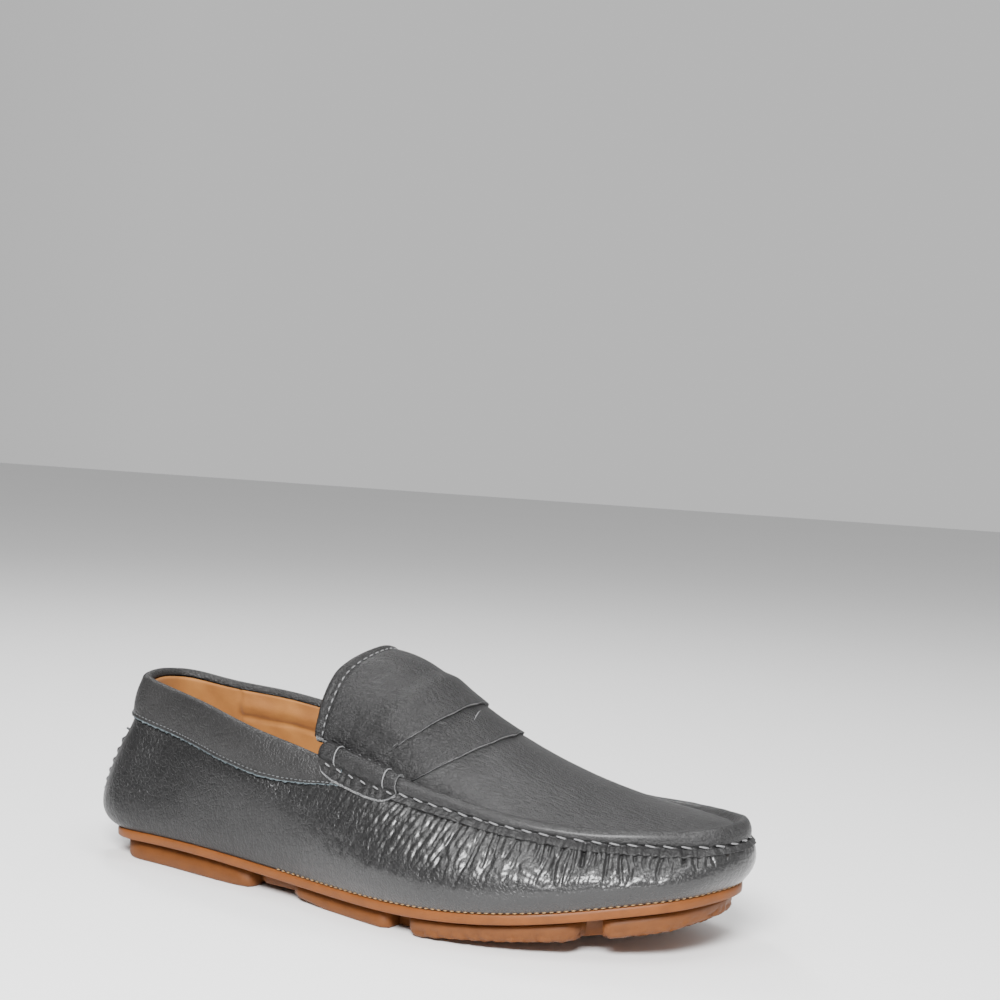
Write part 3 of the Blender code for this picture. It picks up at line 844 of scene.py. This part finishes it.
def mask():
    """Tongue and strap: one leather with a lapped slit, its sides wrapped over the seam as rolls."""
    rear, front = np.linspace(0.0, 1.0, 60), np.linspace(0.0, 1.0, 26)
    sides = eased(71) * 0.985
    lip = 1 - smooth(SLIT_END - 0.05, SLIT_END + 0.06, np.abs(sides))
    slit, edge, start = [line_at(sides, name) for name in ("slit", "front", "rear")]
    tongue = tongue_edge(sides)
    to_slit = tongue + (slit - tongue) * rear[:, None]
    from_slit = slit - SLIT_LAP * lip + (edge - slit + SLIT_LAP * lip) * front[:, None]
    side_rear, side_front = grid(rear, sides)[1], grid(front, sides)[1]

    lift = MASK_LIFT + SLIT_STEP * lip * smooth(start - 0.25, start + 0.02, to_slit)
    lift += 0.35 * bell((to_slit - start) * 22.0, 4.0)
    lift += tongue_roll((to_slit - tongue) * STATION_LENGTH, side_rear) + mask_wrinkles(to_slit, side_rear)
    top_rear = off_crown(to_slit, side_rear, lift)
    top_front = off_crown(from_slit, side_front, MASK_LIFT + mask_wrinkles(from_slit, side_front))
    drop = SLIT_STEP * 0.8 * lip[None, :, None]
    step = top_rear[-1:] - crown_normal(to_slit[-1:], side_rear[-1:]) * drop

    share = np.concatenate([rear * SLIT_SHARE, [SLIT_SHARE], SLIT_SHARE + (1 - SLIT_SHARE) * front])
    outer, inner = [flap_side(share, place) for place in SIDES]
    whole = np.concatenate([outer, np.concatenate([top_rear, step, top_front]), inner[:, ::-1]], axis=1)
    under = whole - normals(whole) * MASK_THICKNESS
    raw = np.zeros((len(whole) - 1, whole.shape[1] - 1), bool)
    raw[len(rear) - 1, FLAP_STEPS:-FLAP_STEPS] = lip[:-1] > 0.5
    raw[:, [0, -1]] = True
    shell("mask", whole, under, [PEBBLED, FIBRE, FIBRE], raw=raw, rim_kinds=(2, 2, 0, 2))


def flap_side(share, place_on):
    """The part of the mask that wraps over the seam, as rows by steps from its lower edge inward."""
    shape = section_of(FLAP, FLAP_STEPS)
    t = place_on(FLAP_REAR + (FLAP_FRONT - FLAP_REAR) * share)
    ends = (1 - (2 * share - 1) ** 6)[:, None]
    low = np.clip(shape[:, 1], None, 0.0)
    shut = 1 - smooth(0.0, 0.07, share)[:, None]
    inward = shape[None, :, 0] + (1 - ends) * np.where(low < 0, -0.4 * shape[:, 0], 0.0)
    inward = inward + 1.3 * shut * (1 - np.linspace(0, 1, FLAP_STEPS))
    up = (np.maximum(shape[:, 1], 0.0)[None, :] + ends * low) * (1 - 0.22 * shut)
    ripple = 0.3 * np.sin(share * 62 + 1.5 * np.sin(share * 17))
    wrinkle = ripple[:, None] * bell(np.arange(FLAP_STEPS) - 3.0, 3.5)
    return seam_line(np.repeat(t[:, None], FLAP_STEPS, axis=1), inward - wrinkle, up)


# Main creases of the mask. station and side: their middles. length: half of it.
WRINKLES = table(
    "Wrinkle",
    "station side length width depth turn",
    (6.75, -0.82, 9, 1.2, 0.35, 60),
    (6.9, -0.72, 8, 1, 0.3, 52),
    (7.05, -0.86, 7, 1, 0.35, 70),
    (7.15, -0.78, 8, 1.1, 0.3, 60),
    (7.3, -0.88, 6, 0.9, 0.3, 65),
    (6.45, -0.7, 9, 1.2, 0.25, 50),
    (6.4, -0.88, 6, 1, 0.3, 80),
    (6.6, -0.5, 11, 1.4, 0.2, 45),
)


def mask_wrinkles(station, side):
    """Creases of the mask near the slit's ends, mirrored on the inner side."""
    push = np.zeros_like(station)
    for row in WRINKLES:
        for way in (1.0, -1.0):
            along = (station - row.station) * STATION_LENGTH
            across = (side - way * row.side) * HALF_WIDTH * way
            turn = math.radians(row.turn)
            u = along * math.cos(turn) + across * math.sin(turn)
            v = -along * math.sin(turn) + across * math.cos(turn)
            push -= row.depth * np.exp(-((u / row.length) ** 2) - np.abs(v / row.width))
    return push


CUFF_END = 6.55
# The cuff's depth below the rim, by station
CUFF_DEPTHS = [(0.0, 17.0), (4.4, 17.0), (5.2, 16.0), (5.6, 14.2), (6.0, 11.2), (6.3, 8.0), (6.6, 5.0)]


def cuff_depth(t):
    """The cuff's depth as a share of its full depth at the heel."""
    depths = np.array(CUFF_DEPTHS)
    return np.interp(station_of(t % ROUND), depths[:, 0], depths[:, 1]) / depths[0, 1]


def share_below_rim(t, drop):
    """The share at which the wall lies this far below the rim."""
    shares = np.linspace(0, 1, 101)
    heights = wall(np.full(len(shares), t), shares)[:, 2]
    return np.interp(rim_curve(np.array([t]))[0, 2] - drop, heights, shares)


# The cuff's outer face, below the rim and off the wall, and its top, inward and up from the rim
PAD_OUTSIDE = [(17.0, 0.9), (16.0, 1.5), (15.2, 1.1), (13.6, 1.6), (9.5, 2.3), (5.0, 2.2), (2.0, 1.7)]
PAD_TOP = [(-1.2, 0.1), (-0.6, 0.8), (0.4, 1.15), (1.5, 1.0), (2.4, 0.3), (2.9, -0.7), (3.0, -1.8)]
PAD_THICKNESS = 0.8


def cuff():
    """The padded leather cuff round the collar, with its raw lower edge."""
    places = np.linspace(float(medial_place(CUFF_END)) - ROUND, float(lateral_place(CUFF_END)), 300)
    outside, over = section_of(PAD_OUTSIDE, 26), section_of(PAD_TOP, 20)
    shares = np.array([[share_below_rim(t, drop) for drop in outside[:, 0] * cuff_depth(t)] for t in places])
    t_grid = np.repeat(places[:, None], len(outside), axis=1)
    ragged = 0.25 * np.sin(places * 1.7) + 0.2 * np.sin(places * 2.9 + 1) + 0.15 * np.sin(places * 5.3)
    slim = 1 - 0.6 * smooth(5.9, 6.3, station_of(places % ROUND))[:, None]
    face = off_wall(t_grid, shares, outside[:, 1] * slim + 0.12 * noise_field(t_grid, shares * 60))
    face[:, :1, 2] += ragged[:, None]
    t_top = np.repeat(places[:, None], len(over), axis=1)
    top = rim_curve(t_top) - outward(rim_curve, t_top) * over[None, :, :1]
    top[..., 2] += over[None, :, 1]
    section = np.concatenate([face, top], axis=1)
    raw = np.zeros((len(section) - 1, section.shape[1] - 1), bool)
    raw[:, :2] = True
    under = section - normals(section) * PAD_THICKNESS
    shell("cuff", section, under, [PADDED, PADDED, EDGE], raw=raw)
    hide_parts("collar_cuff")


LINING_DEPTH, LINING_LEAST = 3.0, 1.8
# The lining's level seam, below the rim, and its upright ones
LINING_SEAM_DROP, LINING_SEAM_STATION = 13.6, 3.22


def lining():
    """The tan lining inside the wall, puffed above its level seam, with two upright seams."""
    places = np.linspace(0, ROUND, 600, endpoint=False)
    t, share = grid(places, np.linspace(0.02, 0.97, 56))
    station = station_of(t)
    drop = rim_curve(t)[..., 2] - wall(t, share)[..., 2]
    rear = 1 - smooth(5.6, 6.6, station)
    ahead = rear * smooth(LINING_SEAM_STATION - 0.05, LINING_SEAM_STATION, station)
    puff = 1.3 * bell(drop - LINING_SEAM_DROP + 5, 3.5) * ahead
    seam = -1.1 * bell(drop - LINING_SEAM_DROP, 0.8) * ahead
    for place in SIDES:
        seam -= 1.2 * bell(t - float(place(LINING_SEAM_STATION)), 1.1) * rear
    folds_in = 0.35 * noise_field(t * 0.9, share * 50) * smooth(0.0, 0.2, share)
    foot = 5.5 * (1 - smooth(0.08, 0.3, share)) + 2.2 * smooth(6.3, 7.0, station)
    depth = np.maximum(LINING_DEPTH + puff + seam + folds_in, LINING_LEAST) + foot
    inside, outside = off_wall(t, share, -depth), off_wall(t, share, -(1.3 + 0.85 * foot))
    shell("lining", inside, outside, LINED, closed=True)


def crown_lining():
    """The tan lining under tongue and apron."""
    station, side = grid(np.linspace(THROAT + 0.02, TOE - 0.25, 150), eased(40) * 0.995)
    normal = crown_normal(station, side)
    top = crown(station, side) - normal * 1.2
    shell("crown_lining", top, top - normal * 0.8, LINED)


FOOTBED_INSET, FOOTBED_UNDER, FOOTBED_TOP = 1.5, 2.95, 5.5


def insole():
    """The footbed, dished a little, with a stitched heel pad."""
    station, side = grid(np.linspace(0.03, TOE - 0.1, 150), eased(48))
    points = across_sole(station, side, FOOTBED_INSET)
    low = points + (0.0, 0.0, FOOTBED_UNDER)
    dish = 1.4 * (1 - side**2) * (1 - 0.5 * smooth(4.0, 7.0, station))
    pad = 0.7 * (1 - smooth(3.95, 4.05, station + 0.5 * side**2)) * (1 - smooth(0.9, 0.97, np.abs(side)))
    points[..., 2] += FOOTBED_TOP - dish + pad - 0.9 * smooth(0.93, 1.0, np.abs(side))
    shell("footbed", points, low, LINED)
    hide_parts("insole")


# The sole

BAND_HEIGHT = 4.1
BAND_SECTION = rolls(
    (9, -0.1), (1.2, 0), (0.45, -0.08), (0.08, -0.45), (-0.05, -1.6), (-0.05, -2.8),
    (0.08, -3.7), (0.45, -4.02), (1.1, -4.1), (5.5, -4.1), (5.6, -5.4), (9, -5.4),
)
LUG_INSET, HEEL_ROUND, CORNER = 3.5, 2.2, 0.03
LUG_SINK = 1.2


def band():
    """The moulded band of the sole, with its undercut."""
    places = np.linspace(0, ROUND, 640, endpoint=False)
    edge, away = edge_curve(places), outward(edge_curve, places)
    sections = np.stack([edge - away * roll.inward + (0.0, 0.0, roll.up) for roll in BAND_SECTION], axis=1)
    piece = ring("sole_band", sections, [BAND])
    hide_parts("outsole")


# Lugs, by x along the sole's edge: where each begins and ends, how much further in it lies, its tread.
LUGS = table(
    "Lug",
    "name first last recess knobs",
    ("lug_heel", -9, 80, 0, 0),
    ("lug_arch", 81.5, 101.2, 5, 0),
    ("lug_waist", 102, 154.3, 0, 0),
    ("lug_ball", 162.6, 230.4, 0, 0.8),
    ("lug_toe", 237.6, 300, 0, 0.9),
)
# The height of the tread, by x along the edge
TREADS = [
    (-6, 3), (2, 1.2), (10, 0), (79.5, 0), (81, 2.3), (101, 2.3), (102.5, 2.2), (121, 0),
    (168, 0), (180, 1.5), (203, 3.9), (230, 6.4), (247, 9.5), (259, 11.8), (270, 15.2), (277, 18),
]
# The rounding at the foot of a lug's side: inset and height.
LUG_FOOT = rolls((1.3, 0), (0.75, 0.12), (0.3, 0.5), (0.05, 1.1), (0, 1.9))
CRUMB_SIDE = rolls(
    (1.3, 0), (0.7, 0.35), (0.3, 0.9), (0.1, 1.5), (0, 2.1), (0, 2.7), (0, 3.4), (0, 4.6),
)
CRUMB_DEPTH, CRUMB_PITCH = 1.5, 2.8
SMOOTH_CELL, CRUMB_CELL = 3.0, 0.9


def tread_height(x):
    return np.interp(x, *np.transpose(TREADS))


def lug_plan(lug, rows, columns, inset):
    """Points of a lug's plan, as a grid, drawn in by inset and with rounded corners."""
    stations = np.linspace(0, TOE, 1200)
    x = edge_curve(lateral_place(stations))[:, 0]
    starts, stops = lug.first > 0, lug.last < x[-1]
    first = np.interp(lug.first + inset, x, stations) if starts else 0.0
    last = np.interp(lug.last - inset, x, stations) if stops else float(TOE)
    u, w = grid(np.linspace(-1, 1, rows), np.linspace(-1, 1, columns))
    end = np.where(u < 0, starts, stops)
    s = (first + last) / 2 + (last - first) / 2 * u * (1 - CORNER * np.abs(w) ** 14 * end)
    s = np.clip(s, 0, TOE)
    heel_round = HEEL_ROUND * (1 - smooth(-4.0, 16.0, edge_curve(lateral_place(s))[..., :1]))
    w = w * (1 - 0.05 * np.abs(u) ** 20 * end)
    return across_sole(s, w, LUG_INSET + lug.recess + inset + heel_round)


def border(points):
    """The points round the rim of a grid, in order."""
    return np.concatenate([points[:-1, 0], points[-1, :-1], points[:0:-1, -1], points[0, :0:-1]])


def lug(row):
    """One tread block: rounded foot, plain sides, and a knobbly face where the rubber is crumbed."""
    length = min(row.last, 275.0) - max(row.first, -3.0)
    fine, plain = (int(length / CRUMB_CELL), 90), (max(int(length / SMOOTH_CELL), 12), 30)
    rows, columns = fine if row.knobs else plain
    face = lug_plan(row, rows, columns, LUG_FOOT[0].inward)
    crumbs = lumps(face[..., 0], face[..., 1], CRUMB_PITCH, SEED + 5)
    face[..., 2] = tread_height(face[..., 0]) + row.knobs * (1 - crumbs)
    rings = [border(face)]
    for foot in (CRUMB_SIDE if row.knobs else LUG_FOOT)[1:]:
        insets = (foot.inward, foot.inward + CRUMB_DEPTH)
        edge, further = [border(lug_plan(row, rows, columns, inset)) for inset in insets]
        around = np.cumsum(np.linalg.norm(np.diff(edge[:, :2], axis=0, prepend=edge[:1, :2]), axis=1))
        gap = 1 - lumps(around, np.full(len(around), foot.up), CRUMB_PITCH, SEED + 6)
        fade = row.knobs * (1 - smooth(1.5, 4.6, foot.up))
        edge += (further - edge) * (gap * fade)[:, None]
        edge[:, 2] = tread_height(edge[:, 0]) + foot.up
        rings.append(edge)
    lid = lug_plan(row, rows, columns, 0.0) - (0.0, 0.0, BAND_HEIGHT + LUG_SINK)
    rings = np.array(rings + [border(lid)])
    index = np.arange(face[..., 0].size).reshape(face.shape[:2])
    side = index.size + np.arange(rings[..., 0].size).reshape(rings.shape[:2])
    side_faces = quads(np.column_stack([side, side[:, :1]]))
    faces = np.concatenate([quads(index), side_faces, quads(index + index.size + side.size)])
    points = np.concatenate([part.reshape(-1, 3) for part in (face, rings, lid)])
    make(row.name, points, faces, [SHADED_LUG_GUM])


CORE_INSET, CORE_LIFT = 12.3, 0.6


def core():
    """The middle of the sole, seen between the lugs."""
    top = across_sole(*grid(np.linspace(0.4, TOE - 0.4, 120), np.linspace(-1, 1, 15)), CORE_INSET)
    low = top.copy()
    top[..., 2] -= 0.2
    low[..., 2] = tread_height(low[..., 0]) + CORE_LIFT
    shell("sole_core", top, low, [SHADED_LUG_GUM, SHADED_LUG_GUM, SHADED_LUG_GUM])


# Stitches

STITCH_LENGTH, STITCHED_FROM = 4.3, 7.42
CUFF_STITCH, CUFF_PITCH, CUFF_ROW = 1.5, 2.3, 15.2
TONGUE_STITCH, TONGUE_PITCH = 2.2, 3.3
WELT_STITCH, WELT_PITCH, WELT_FROM = 1.7, 2.7, 5.6
ROLL_WRAPS = (6.47, 7.27)
# Radii of the threads
SEAM_THREAD, HEEL_CORD, ROLL_THREAD, WRAP_THREAD = 0.37, 0.55, 0.3, 0.25
CUFF_THREAD, TONGUE_THREAD, WELT_CORD, MARK_THREADS = 0.2, 0.28, 0.28, (0.15, 0.2)


def seam_stitches():
    """The long hand stitches along the foot of the ridge."""
    start, end = [float(np.interp(place(STITCHED_FROM), SEAM_SAMPLE, SEAM_RUN)) for place in SIDES]
    steps = np.linspace(-0.5, 0.5, 9)
    run = np.arange(start, end, STITCH_PITCH)[:, None] + STITCH_PITCH / 2 + steps * STITCH_LENGTH
    t = np.interp(run, SEAM_RUN, SEAM_SAMPLE)
    inward, up = np.broadcast_arrays(0.1 + 0.55 * (2 * steps) ** 4, 0.35 - 0.9 * steps, t)[:2]
    threads("seam_stitches", seam_line(t, inward, up), SEAM_THREAD, THREAD)


def heel_stitches():
    """Whip stitches that close the heel seam."""
    steps = np.linspace(-1, 1, 11)
    low = HEEL_STITCH_FIRST + HEEL_STITCH_PITCH * np.arange(11)[:, None]
    share = low + 0.03 * (steps + 1) / 2
    t = np.broadcast_to(HEEL_SEAM + steps * 3.0, share.shape)
    paths = off_wall(t, share, np.broadcast_to(0.9 * (1 - steps**2) ** 0.5 + 0.35, share.shape))
    threads("heel_stitches", paths, HEEL_CORD, HEEL_THREAD)


def stitch_row(name, surface, starts, length, radius, finish):
    """Small stitches: surface(run) gives points just over the leather for run in millimetres."""
    steps = np.linspace(-0.5, 0.5, 5)
    run = starts[:, None] + steps * length
    paths = surface(run, 0.35 * radius * (1 - 6 * (np.abs(steps) ** 3)))
    threads(name, paths, radius, finish)


def cuff_stitches():
    """The fine row just over the cuff's lower edge."""
    first, last = float(medial_place(CUFF_END)) - ROUND + 1, float(lateral_place(CUFF_END)) - 1

    def surface(t, over):
        drops = CUFF_ROW * cuff_depth(t)
        share = [[share_below_rim(*pair) for pair in zip(*rows)] for rows in zip(t, drops)]
        return off_wall(t, np.array(share), 1.1 + over)

    starts = np.arange(first, last, CUFF_PITCH)
    stitch_row("cuff_stitches", surface, starts, CUFF_STITCH, CUFF_THREAD, FINE_THREAD)


def tongue_stitches():
    """The pale row set in from the tongue's rear edge."""
    sides = np.linspace(-0.97, 0.97, 400)
    stations = tongue_edge(sides) + EDGE_TUCK / STATION_LENGTH
    run = lengths(crown(stations, sides))

    def surface(at, over):
        side = np.interp(at, run, sides)
        return off_crown(np.interp(side, sides, stations), side, MASK_LIFT - 0.2 + over)

    starts = np.arange(1.5, run[-1] - 1.5, TONGUE_PITCH)
    stitch_row("tongue_stitches", surface, starts, TONGUE_STITCH, TONGUE_THREAD, THREAD)


def roll_stitches():
    """Cross wraps of the rolls, and the rows above and below them."""
    inward, up = section_of(FLAP, 15, 0.3, 0.97).T
    steps = np.linspace(-0.5, 0.5, 7)
    wraps, rows = [], []
    arch = 6.9 - 0.6 * (2 * steps) ** 2
    for place_on in SIDES:
        for station in ROLL_WRAPS:
            wraps.append(seam_line(np.full(len(up), float(place_on(station))), inward - 1.25, up + 0.5))
        for station in np.linspace(6.34, 7.36, 6):
            t = place_on(station + steps * 0.085)
            rows.append(seam_line(t, np.full(len(t), -2.0), 0.2 - 0.6 * steps))
        for station in np.linspace(6.5, 7.2, 5):
            t = place_on(station + steps * 0.07)
            rows.append(seam_line(t, np.full(len(t), 5.2), arch))
    threads("roll_wraps", wraps, WRAP_THREAD, THREAD)
    threads("roll_stitches", rows, ROLL_THREAD, THREAD)


def welt_stitches():
    """The fine ochre row between the leather and the band."""
    first, last = [float(place(WELT_FROM)) for place in SIDES]
    t = np.arange(first, last, WELT_PITCH)[:, None] + WELT_STITCH * np.linspace(-0.5, 0.5, 4)
    paths = edge_curve(t) + outward(edge_curve, t) * 0.2
    paths[..., 2] += 0.5
    threads("welt_stitches", paths, WELT_CORD, WELT_THREAD)


# The scuff on the quarter and the tack on the strap
SCUFF_PLACE, SCUFF_SHARE = 118.0, 0.67
TACK = [(7.84, -0.18), (7.81, -0.13), (7.78, -0.08), (7.76, -0.03)]


def marks():
    """A small pale scuff on the outer quarter, and the loose tack thread beside the strap's slit."""
    steps = np.linspace(-1, 1, 7)
    t, share = SCUFF_PLACE + steps, SCUFF_SHARE + 0.006 * steps**2
    scuff = off_wall(t, share, np.full(len(t), 0.05))
    threads("scuff", [scuff], MARK_THREADS[0], THREAD)
    station, side = np.transpose(TACK)
    tack = off_crown(station, side, np.full(len(TACK), MASK_LIFT + 0.12))
    threads("tack", [tack], MARK_THREADS[1], THREAD)


# The studio


def aim_camera():
    """The camera of the photograph: its aim appears away from the middle of the picture."""
    azimuth, elevation, roll = [math.radians(a) for a in (CAMERA_AZIMUTH, CAMERA_ELEVATION, CAMERA_ROLL)]
    level = Vector((math.sin(azimuth), -math.cos(azimuth), 0.0)) * math.cos(elevation)
    back = level + Vector((0.0, 0.0, math.sin(elevation)))
    right = Vector((math.cos(azimuth), math.sin(azimuth), 0.0))
    up = back.cross(right)
    across = right * math.cos(roll) + up * math.sin(roll)
    upright = up * math.cos(roll) - right * math.sin(roll)
    middle = IMAGE_SIZE / 2
    aside, above = (AIM_PIXEL[0] - middle) / PIXELS_PER_MM, (middle - AIM_PIXEL[1]) / PIXELS_PER_MM
    place = Vector(CAMERA_AIM) - Vector(ORIGIN) + back * CAMERA_DISTANCE - across * aside - upright * above
    data = bpy.data.cameras.new("camera")
    data.sensor_width = SENSOR
    data.lens = PIXELS_PER_MM * CAMERA_DISTANCE * SENSOR / IMAGE_SIZE
    data.clip_start, data.clip_end = 0.01, 20.0
    camera = bpy.data.objects.new("camera", data)
    turn = Matrix((across, upright, back)).transposed().to_4x4()
    camera.matrix_world = Matrix.Translation(place * MM) @ turn
    bpy.context.scene.collection.objects.link(camera)
    bpy.context.scene.camera = camera


# Metres and watts. The lamps look at a point in the middle of the shoe.
LAMPS = table(
    "Lamp",
    "name place size power",
    ("lamp_above", (0.0, 0.1, 1.5), (1.5, 1.3), 5.5),
    ("lamp_left", (-0.2, -0.62, 1.05), (0.6, 0.5), 4.5),
    ("lamp_right", (0.42, -0.1, 1.0), (0.25, 0.25), 2.5),
    ("lamp_back", (-0.5, 0.42, 0.9), (0.2, 0.3), 4.5),
    ("lamp_front", (0.34, -0.85, 0.7), (0.42, 0.26), 32.0),
)
LIT_POINT = (0.0, 0.0, 0.04)
FLOOR_HALF = 4.0


def lamp(row):
    data = bpy.data.lights.new(row.name, "AREA")
    data.shape = "RECTANGLE"
    data.size, data.size_y = row.size
    data.energy = row.power
    obj = bpy.data.objects.new(row.name, data)
    obj.location = row.place
    obj.rotation_euler = (Vector(LIT_POINT) - Vector(row.place)).to_track_quat("-Z", "Y").to_euler()
    bpy.context.scene.collection.objects.link(obj)


SHADED_SIDE = (-0.6, -0.8, 0.0)
SURROUND_BRIGHT, SURROUND_DARK, SHADE_SPAN = 0.66, 0.1, (-0.25, 0.85)


def studio():
    """A pale floor, soft lamps and an even pale surround."""
    mesh = bpy.data.meshes.new("floor")
    corners = [(x * FLOOR_HALF, y * FLOOR_HALF, 0) for x, y in ((-1, -1), (1, -1), (1, 1), (-1, 1))]
    mesh.from_pydata(corners, [], [(0, 1, 2, 3)])
    mesh.materials.append(floor_finish())
    floor = bpy.data.objects.new("floor", mesh)
    bpy.context.scene.collection.objects.link(floor)
    surround()
    for row in LAMPS:
        lamp(row)


def surround():
    """An even pale surround, shaded on the side of the heel and in front."""
    world = bpy.data.worlds.new("surround")
    world.use_nodes = True
    tree = world.node_tree
    background = tree.nodes["Background"]
    background.inputs["Color"].default_value = (1.0, 1.0, 1.0, 1.0)
    source = node(tree, "ShaderNodeTexCoord")
    dot = node(tree, "ShaderNodeVectorMath", operation="DOT_PRODUCT")
    dot.inputs[1].default_value = SHADED_SIDE
    tree.links.new(source.outputs["Generated"], dot.inputs[0])
    strength = between(tree, dot.outputs["Value"], *SHADE_SPAN, SURROUND_BRIGHT, SURROUND_DARK)
    tree.links.new(strength, background.inputs["Strength"])
    bpy.context.scene.world = world


def main():
    aim_camera()
    studio()
    made = creases()
    vamp(made)
    apron(made)
    mask()
    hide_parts("saddle")
    cuff()
    lining()
    crown_lining()
    insole()
    band()
    core()
    for row in LUGS:
        lug(row)
    seam_stitches()
    heel_stitches()
    cuff_stitches()
    tongue_stitches()
    roll_stitches()
    welt_stitches()
    marks()


main()
